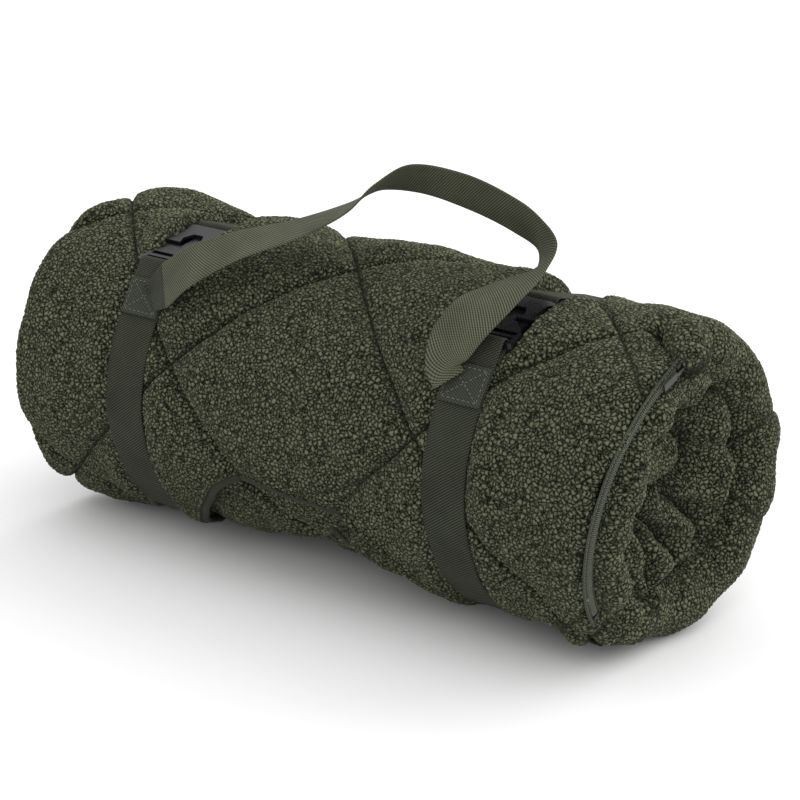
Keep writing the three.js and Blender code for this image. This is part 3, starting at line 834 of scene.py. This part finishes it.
# ---- flat webbing, tapes and cords ----
def ribbon(name, centres, sides, width, thick, across=17, bead=0.12):
    """A woven band along the centres. sides point to its one edge; width may change along it."""
    ahead = unit(np.gradient(centres, axis=0))
    sides = unit(sides - np.sum(sides * ahead, axis=1, keepdims=True) * ahead)
    ups = np.cross(ahead, sides)
    s = np.sin(np.linspace(-math.pi / 2, math.pi / 2, across)) * 0.4 + np.linspace(-1, 1, across) * 0.6
    high = np.sqrt(np.maximum(1 - np.abs(s) ** 26, 0.09)) + bead * np.exp(-((np.abs(s) - 0.94) / 0.05) ** 2)
    loop_s = np.concatenate([s, s[::-1]])
    loop_u = np.concatenate([high, -high[::-1]])
    reach = loop_s[None, :] * np.broadcast_to(width / 2, len(centres))[:, None]
    grid = centres[:, None, :] + sides[:, None, :] * reach[..., None]
    grid = grid + ups[:, None, :] * (loop_u * thick / 2)[None, :, None]
    obj = grid_mesh(name, grid)
    along = lengths_along(centres)[:, None] + 0 * reach
    store(obj, "weave", np.stack([along, reach, 0 * along + loop_u * thick], axis=-1))
    return obj


def cord(name, centres, radius, around=10, flat=1.0, sides=None):
    """A round or flattened cord along the centres."""
    ahead = unit(np.gradient(centres, axis=0))
    if sides is None:
        sides = np.cross(ahead, np.array([1.0, 0.0, 0.0]) + 0 * ahead)
    sides = unit(sides - np.sum(sides * ahead, axis=1, keepdims=True) * ahead)
    ups = np.cross(ahead, sides)
    turn = np.linspace(0, 2 * math.pi, around, endpoint=False)
    grid = (centres[:, None, :] + sides[:, None, :] * (radius * np.cos(turn))[None, :, None]
            + ups[:, None, :] * (radius * flat * np.sin(turn))[None, :, None])
    obj = grid_mesh(name, grid)
    along = lengths_along(centres)[:, None] + 0 * turn[None, :]
    store(obj, "weave", np.stack([along, 0 * along + radius * turn, 0 * along], axis=-1))
    return obj


def stitches(name, lines, normals, length=2.6 * MM, gap=1.3 * MM, radius=0.36 * MM):
    """Separate stitches of thread laid along lines, each bowed out of the cloth."""
    mesh_points, mesh_faces = [], []
    around, steps = 6, 5
    for line, normal in zip(lines, normals):
        line = np.array(line)
        known = lengths_along(line)
        total = known[-1]
        count = max(int(total / (length + gap)), 1)
        for k in range(count):
            begin = (k + 0.5) * total / count - length / 2
            at = np.linspace(begin, begin + length, steps)
            path = np.stack([np.interp(at, known, line[:, c]) for c in range(3)], axis=1)
            bow = np.sin(np.linspace(0, math.pi, steps))[:, None]
            path = path + np.array(normal) * (bow * 0.9 - 0.35) * radius * 2
            ahead = unit(path[-1] - path[0])
            side = unit(np.cross(ahead, np.array(normal)))
            base = len(mesh_points)
            thin = np.array([0.45, 0.95, 1.0, 0.95, 0.45]) * radius
            for point, size in zip(path, thin):
                for turn in np.linspace(0, 2 * math.pi, around, endpoint=False):
                    outwards = side * size * math.cos(turn) + np.array(normal) * size * math.sin(turn)
                    mesh_points.append(point + outwards)
            for i in range(steps - 1):
                for j in range(around):
                    n = (j + 1) % around
                    mesh_faces.append((base + i * around + j, base + i * around + n,
                                       base + (i + 1) * around + n, base + (i + 1) * around + j))
            mesh_faces.append(tuple(base + j for j in range(around))[::-1])
            mesh_faces.append(tuple(base + (steps - 1) * around + j for j in range(around)))
    mesh = bpy.data.meshes.new(name)
    mesh.from_pydata([tuple(p) for p in mesh_points], [], mesh_faces)
    turn_out(mesh)
    shade_smooth(mesh)
    return new_object(name, mesh)


# ---- the free edge's binding ----
def make_hem(name, x, degrees, radius, half_width, material):
    """A flat band of binding tape along an edge of the cloth, just past the fleece."""
    angle = np.radians(degrees)
    down = unit(np.stack([-np.gradient(radius * angle), np.gradient(x)], axis=1))
    round_way = np.stack([0 * x, -np.cos(angle), -np.sin(angle)], axis=1)
    past = down[:, :1] * np.array([[1.0, 0, 0]]) + down[:, 1:] * round_way
    edge = np.stack([x, -radius * np.sin(angle), AXIS_Z + radius * np.cos(angle)], axis=1)
    obj = cord(name, edge + past * 0.55 * half_width, half_width, around=20, flat=0.5, sides=past)
    dress(obj, material)
    return obj


def make_binding(material):
    x = np.arange(PANEL_LEFT + 14 * MM, ZIP_X - 34 * MM, 1.0 * MM)
    degrees = free_angle(x)
    radius = cloth_radius(x, degrees, 0 * x) - 3.6 * MM
    free = make_hem("free_edge_binding_tape", x, degrees, radius, 4.6 * MM, material)
    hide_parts("free_edge_binding")
    x = np.arange(-22 * MM, 52 * MM, 1.0 * MM)
    degrees = second_edge(x)
    radius = cloth_radius(x, degrees, FLAP_ANGLE + 360 - degrees) - 0.5 * MM
    make_hem("second_edge_binding_tape", x, degrees, radius, 2.6 * MM, material)


# ---- straps ----
BUCKLE_AT = np.array([-44, 110]) * MM         # the buckle's middle, as (y, z) from the axis
RELEASE_AXIS = joint_of("left_buckle_release")["axis"]
BUCKLE_TILT = math.atan2(RELEASE_AXIS[2], RELEASE_AXIS[1])
BAR_AT = 34.2 * MM                            # from the buckle's middle to the bar at either end
HOOK_RADIUS = 3.9 * MM                        # the webbing's middle round a bar
HOOK_RETURN = 15 * MM                         # and how far it comes back under itself
JOIN_ANGLE = -40                              # the strap leaves the roll here for the housing


def bar_centre(end):
    return BUCKLE_AT + end * BAR_AT * np.array([math.cos(BUCKLE_TILT), math.sin(BUCKLE_TILT)])


def hook(end, start):
    """Webbing that comes up from a point on the roll, over a bar, and back under itself."""
    bar = bar_centre(end)
    away = start - bar
    length = np.linalg.norm(away)
    away = away / length
    out = np.array([away[1], -away[0]]) if end < 0 else np.array([-away[1], away[0]])
    first = math.atan2(out[1], out[0])
    turns = first + end * np.linspace(0, math.pi, 16)
    bend = bar + HOOK_RADIUS * np.stack([np.cos(turns), np.sin(turns)], axis=1)
    drop = HOOK_RADIUS * (1 - HOOK_RETURN / length) - WEB_THICK - 0.5 * MM
    back = bar + away * HOOK_RETURN + out * drop
    return np.vstack([start[None], bend, back[None]])


def leaving_angle():
    """Where the strap leaves the roll, in front, for the plug's bar."""
    y, z = bar_centre(-1)
    return math.degrees(math.atan2(-y, z) + math.acos(STRAP_RADIUS / math.hypot(y, z)))


def strap_route():
    leaving = leaving_angle()
    front = hook(-1, polar(STRAP_RADIUS, leaving))[::-1]
    turned = np.arange(leaving + 2, 360 + JOIN_ANGLE, 2.0)
    round_the_roll = np.array([polar(STRAP_RADIUS, angle) for angle in turned])
    back = hook(1, polar(STRAP_RADIUS, JOIN_ANGLE))
    route = np.vstack([front, round_the_roll, back])
    return resample(route, int(lengths_along(route)[-1] / (1.3 * MM)))


def make_strap(side, material):
    route = strap_route()
    along = lengths_along(route)
    middle = smooth(0.04, 0.12, along) * (1 - smooth(along[-1] - 0.14, along[-1] - 0.06, along))
    x = STRAP_X[side] + 0.9 * MM * middle * lumps(along, 0 * along, 130 * MM, 31 + len(side))
    outward = unit(route) * (0.5 * MM * middle * lumps(along, 0 * along, 40 * MM, 33 + len(side)))[:, None]
    yz = route + outward
    centres = np.stack([x, yz[:, 0], AXIS_Z + yz[:, 1]], axis=1)
    sides = np.tile([1.0, 0.0, 0.0], (len(centres), 1))
    leaves = int(np.argmin(np.linalg.norm(route - polar(STRAP_RADIUS, JOIN_ANGLE), axis=1)))
    held = ribbon(f"{side}_strap_webbing", centres[:leaves + 1], sides[:leaves + 1], WEB_WIDTH,
                  WEB_THICK)
    dress(held, material, replaced=(f"{side}_strap",))
    last = ribbon(f"{side}_strap_end_webbing", centres[leaves:], sides[leaves:], WEB_WIDTH, WEB_THICK)
    dress(last, material, body=None, replaced=(f"{side}_strap_end",))
    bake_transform(last)


# ---- carry handle ----
HANDLE_STATIONS = (
    # the webbing's middle and the direction across it, in millimetres from the axis
    ((-154, -97, 94), (-0.44, 0.43, 0.79)),
    ((-122, -100, 117), (-0.55, 0.58, 0.6)),
    ((-88, -83, 135), (-0.6, 0.73, 0.34)),
    ((-55, -59, 147), (-0.62, 0.77, 0.16)),
    ((-23, -34, 164), (-0.59, 0.8, -0.06)),
    ((-5, -19, 180), (-0.45, 0.83, -0.32)),
    ((17, -4, 187), (-0.23, 0.65, -0.72)),
    ((57, 6, 182), (-0.22, 0.48, -0.85)),
    ((99, 8, 171), (-0.23, 0.45, -0.86)),
    ((125, 5, 161), (-0.26, 0.44, -0.86)),
    ((141, -9, 148), (-0.65, 0.18, -0.74)),
    ((141, -34, 140), (-0.95, 0.12, -0.29)),
    ((139, -61, 133), (-0.99, 0.13, 0.04)),
    ((134, -85, 123), (-0.91, 0.11, 0.39)),
    ((125, -97, 106), (-0.92, 0.05, 0.35)),
    ((121, -102, 94), (-0.95, -0.1, 0.1)),
    ((123, -106, 85), (-0.75, -0.5, -0.4)),
    ((129, -107, 79), (-0.3, -0.7, -0.65)),
)


def handle_line():
    stations = np.array(HANDLE_STATIONS, dtype=float)
    both = np.concatenate([stations[:, 0] * MM, stations[:, 1] * 12 * MM], axis=1)
    line = catmull(both, 420)
    centres = line[:, :3] + np.array([0, 0, AXIS_Z])
    return centres, unit(line[:, 3:])


def make_handle(material):
    centres, sides = handle_line()
    tucked = smooth(0.92, 0.985, np.linspace(0, 1, len(centres)))
    width = WEB_WIDTH * (1 - 0.34 * tucked)
    obj = ribbon("carry_handle_webbing", centres, sides, width, WEB_THICK, across=21)
    dress(obj, material, body=None, replaced=("carry_handle",))
    blend_handle(obj)


def blend_handle(obj):
    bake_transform(obj)


PATCH_LENGTH = 30 * MM
PATCH_TOP = {"left": 20 * MM, "right": 14 * MM}  # past the place where the strap leaves the roll
PATCH_LIFT = WEB_THICK + 0.25 * MM


def on_strap(places, lift):
    """Places along the strap's front, as (y, z) from the axis: from 0, where it leaves the roll for
    the plug, up to the plug, or down round the roll where they are negative."""
    leaving = leaving_angle()
    low, high = hook(-1, polar(STRAP_RADIUS, leaving))[:2]
    up = unit((high - low)[None])[0]
    points = []
    for s in places:
        start = polar(STRAP_RADIUS + lift, leaving - math.degrees(min(s, 0) / STRAP_RADIUS))
        points.append(start + up * max(s, 0))
    return np.array(points)


def strap_points(side, places, across, lift):
    yz = on_strap(places, lift)
    return np.stack([STRAP_X[side] + across + 0 * yz[:, 0], yz[:, 0], AXIS_Z + yz[:, 1]], axis=1)


def make_patch(side, webbing, thread):
    """The sewn end of the handle, flat on the strap, with its box of stitches."""
    top = PATCH_TOP[side]
    bottom = top - PATCH_LENGTH
    centres = strap_points(side, np.linspace(bottom, top, 28), 0, PATCH_LIFT)
    sides = np.tile([1.0, 0, 0], (len(centres), 1))
    patch = ribbon(f"{side}_handle_end", centres, sides, WEB_WIDTH - 1 * MM, WEB_THICK)
    dress(patch, webbing, replaced=(f"{side}_handle_patch",))
    half = WEB_WIDTH / 2 - 3.5 * MM
    high, low = top - 3 * MM, bottom + 3 * MM
    corners = ((-half, low), (half, low), (half, high), (-half, high))
    lines = []
    for first, second in ((0, 1), (1, 2), (2, 3), (3, 0), (0, 2), (1, 3)):
        (x0, s0), (x1, s1) = corners[first], corners[second]
        t = np.linspace(0, 1, 12)
        lines.append(strap_points(side, s0 + (s1 - s0) * t, x0 + (x1 - x0) * t,
                                  PATCH_LIFT + WEB_THICK / 2))
    middle = on_strap([(high + low) / 2], 0)[0]
    normal = np.array([0, *middle]) / np.linalg.norm(middle)
    sewn = stitches(f"{side}_handle_stitches", lines, [normal] * len(lines))
    dress(sewn, thread)


def make_handle_fold(material):
    """The fold where the webbing turns off the left strap and becomes the handle."""
    centres, sides = handle_line()
    top = PATCH_TOP["left"]
    root = strap_points("left", [top - 1 * MM, top - 26 * MM], WEB_WIDTH / 2 - 12 * MM,
                        PATCH_LIFT + WEB_THICK)
    back = unit((centres[0] - centres[1])[None])[0]
    t = np.linspace(0, 1, 24)[:, None]
    edges = []
    for k, sign in enumerate((1, -1)):
        end = centres[0] + sides[0] * WEB_WIDTH / 2 * sign
        edges.append(end * (1 - t) + root[k] * t + back * 5 * MM * np.sin(math.pi * t))
    across = edges[0] - edges[1]
    width = np.linalg.norm(across, axis=1)
    obj = ribbon("left_handle_fold", (edges[0] + edges[1]) / 2, across, width, WEB_THICK)
    dress(obj, material, body=None)
    blend_handle(obj)


# ---- zip ----
ZIP_RADIUS = 119 * MM
ZIP_START, ZIP_END = 24, 128                  # degrees
ZIP_TILT = math.atan(ZIP_SLANT)
TAPE_OUT, STITCH_OUT, COIL_OUT = 2.6 * MM, 3.1 * MM, 3.4 * MM             # out from the zip's plane
TAPE_MIDDLE, STITCH_MIDDLE = 3.5 * MM, 4.6 * MM                           # to either side of the coils


def zip_point(radius, degrees, out):
    """A point in the zip's slanted plane, out from it by so much."""
    angle = np.radians(degrees)
    y = -radius * np.sin(angle)
    up = radius * np.cos(angle)
    return np.stack([ZIP_X + out * math.cos(ZIP_TILT) + up * math.sin(ZIP_TILT), y + 0 * out,
                     AXIS_Z - out * math.sin(ZIP_TILT) + up * math.cos(ZIP_TILT)], axis=-1)


def make_zip(tape_material, coil_material, thread):
    start, end = ZIP_START - 9, ZIP_END + 6
    degrees = np.linspace(start, end, int(math.radians(end - start) * ZIP_RADIUS / (1.2 * MM)))
    outward = np.array([math.cos(ZIP_TILT), 0, -math.sin(ZIP_TILT)])

    def line(radius, out):
        return zip_point(np.full(len(degrees), radius), degrees, np.full(len(degrees), out))

    for part, sign in (("outer", 1), ("inner", -1)):
        middle = ZIP_RADIUS + sign * TAPE_MIDDLE
        centres = line(middle, TAPE_OUT)
        across = centres - line(middle - 1 * MM, TAPE_OUT)
        tape = ribbon(f"zip_tape_{part}_cloth", centres, across, 5.6 * MM, 0.8 * MM, across=9)
        dress(tape, tape_material, replaced=(f"zip_tape_{part}",))
        seam = line(ZIP_RADIUS + sign * STITCH_MIDDLE, STITCH_OUT)
        sewn = stitches(f"zip_stitches_{part}", [seam], [outward], length=2.2 * MM, gap=0.8 * MM,
                        radius=0.3 * MM)
        dress(sewn, thread)
        make_coil(part, sign, coil_material)


def make_coil(part, sign, material):
    """One side of the zip's coil: a nylon cord wound round its tape's edge."""
    pitch, wire = 1.5 * MM, 0.42 * MM
    total = math.radians(ZIP_END - ZIP_START) * ZIP_RADIUS
    turns = int(total / pitch)
    t = np.linspace(0, 1, turns * 12 + 1)
    wind = 2 * math.pi * turns * t + (0 if sign > 0 else math.pi)
    degrees = ZIP_START + (ZIP_END - ZIP_START) * t
    radius = ZIP_RADIUS + sign * (1.15 + 1.35 * np.cos(wind)) * MM
    out = COIL_OUT + 0.85 * MM * np.sin(wind)
    centres = zip_point(radius, degrees, out)
    obj = cord(f"zip_coil_{part}_cord", centres, wire, around=6)
    dress(obj, material, replaced=(f"zip_coil_{part}",))


# ---- hardware kept from the frame ----
def finish_hardware(plastic, metal):
    for node, obj in frame["nodes"].items():
        if "buckle" in node:
            material, width = plastic, 0.7 * MM
        elif node in ("zip_slider", "zip_pull", "zip_stop_top", "zip_stop_bottom"):
            material, width = metal, 0.35 * MM
        else:
            continue
        for slot in obj.material_slots:
            slot.material = material
        bevel = obj.modifiers.new("rounded_edges", "BEVEL")
        bevel.width = width
        bevel.segments = 3
        bevel.limit_method = "ANGLE"
        bevel.angle_limit = math.radians(35)
        shade_smooth(obj.data)


# ---- camera and stage ----
VIEW_AZIMUTH, VIEW_ELEVATION = 38.19, 19.21   # degrees, from the front towards the right end
VIEW_DISTANCE = 1.9208
VIEW_LENS, SENSOR = 110.78, 36
VIEW_SHIFT = (0.01444, 0.0079)
VIEW_AIM = Vector((-10 * MM, 0, AXIS_Z))
WORLD_LIGHT = 0.8
SOFT_LIGHTS = {
    # name: (strength, how wide it looks in degrees, where it comes from)
    "right_softbox": (1.15, 70, (1.0, -0.3, 1.0)),
    "left_softbox": (0.4, 70, (-0.7, 0.1, 1.2)),
    "front_softbox": (0.3, 60, (0.2, -1.0, 0.6)),
    "back_softbox": (1.6, 60, (0.3, 1.0, 0.7)),
}


def make_camera():
    azimuth, elevation = math.radians(VIEW_AZIMUTH), math.radians(VIEW_ELEVATION)
    back = Vector((math.sin(azimuth) * math.cos(elevation), -math.cos(azimuth) * math.cos(elevation),
                   math.sin(elevation)))
    data = bpy.data.cameras.new("camera")
    data.lens = VIEW_LENS
    data.sensor_width = SENSOR
    data.shift_x, data.shift_y = VIEW_SHIFT
    camera = new_object("camera", data)
    camera.location = VIEW_AIM + back * VIEW_DISTANCE
    camera.rotation_euler = back.to_track_quat("Z", "Y").to_euler()
    bpy.context.scene.camera = camera


def make_stage():
    reach = 20.0
    mesh = bpy.data.meshes.new("floor")
    mesh.from_pydata([(-reach, -reach, 0), (reach, -reach, 0), (reach, reach, 0), (-reach, reach, 0)], [],
                     [(0, 1, 2, 3)])
    floor = new_object("floor", mesh)
    material, _, shader = new_material("floor_pale")
    set_inputs(shader, {"Base Color": (0.85, 0.85, 0.85, 1), "Roughness": 0.9, "Specular IOR Level": 0.1})
    floor.data.materials.append(material)
    world = bpy.data.worlds.new("studio")
    bpy.context.scene.world = world
    world.use_nodes = True
    set_inputs(world.node_tree.nodes["Background"], {"Color": (1, 1, 1, 1), "Strength": WORLD_LIGHT})
    for name, (power, spread_angle, direction) in SOFT_LIGHTS.items():
        data = bpy.data.lights.new(name, "SUN")
        data.energy = power
        data.angle = math.radians(spread_angle)
        light = new_object(name, data)
        light.rotation_euler = Vector(direction).to_track_quat("Z", "Y").to_euler()
    bpy.context.scene.view_settings.view_transform = "Standard"


def main():
    make_camera()
    make_stage()
    sherpa = sherpa_material()
    # the same webbing three times: the handle's, and darker copies with painted shade for the straps and for
    # the sewn ends and the fold
    webbing = webbing_material("ribbed_webbing", (0.010, 0.012, 0.007), (0.118, 0.126, 0.082))
    strap = webbing_material("strap_webbing", (0.002, 0.0025, 0.0015), (0.050, 0.055, 0.036))
    patch = webbing_material("ribbed_webbing_dark", (0.016, 0.018, 0.012), (0.052, 0.057, 0.042))
    hem = plain_cloth_material("hem_cloth", (0.010, 0.012, 0.007), (0.030, 0.033, 0.020), 0.8 * MM)
    tape = plain_cloth_material("zip_tape_cloth", (0.018, 0.022, 0.013), (0.055, 0.062, 0.040), 0.5 * MM)
    coil = plain_cloth_material("zip_coil_nylon", (0.06, 0.066, 0.048), (0.15, 0.16, 0.12), 0.5 * MM)
    thread = plain_cloth_material("thread", (0.07, 0.085, 0.065), (0.15, 0.17, 0.13), 0.3 * MM)
    make_outer_panel(sherpa)
    make_inner_panel(sherpa)
    make_inner_folds(sherpa)
    make_inner_turns(sherpa)
    make_zip_lobe(sherpa)
    make_binding(hem)
    for side in SIDES:
        make_strap(side, strap)
        make_patch(side, patch, thread)
    make_handle_fold(patch)
    make_handle(webbing)
    make_zip(tape, coil, thread)
    finish_hardware(plastic_material(), metal_material())


main()
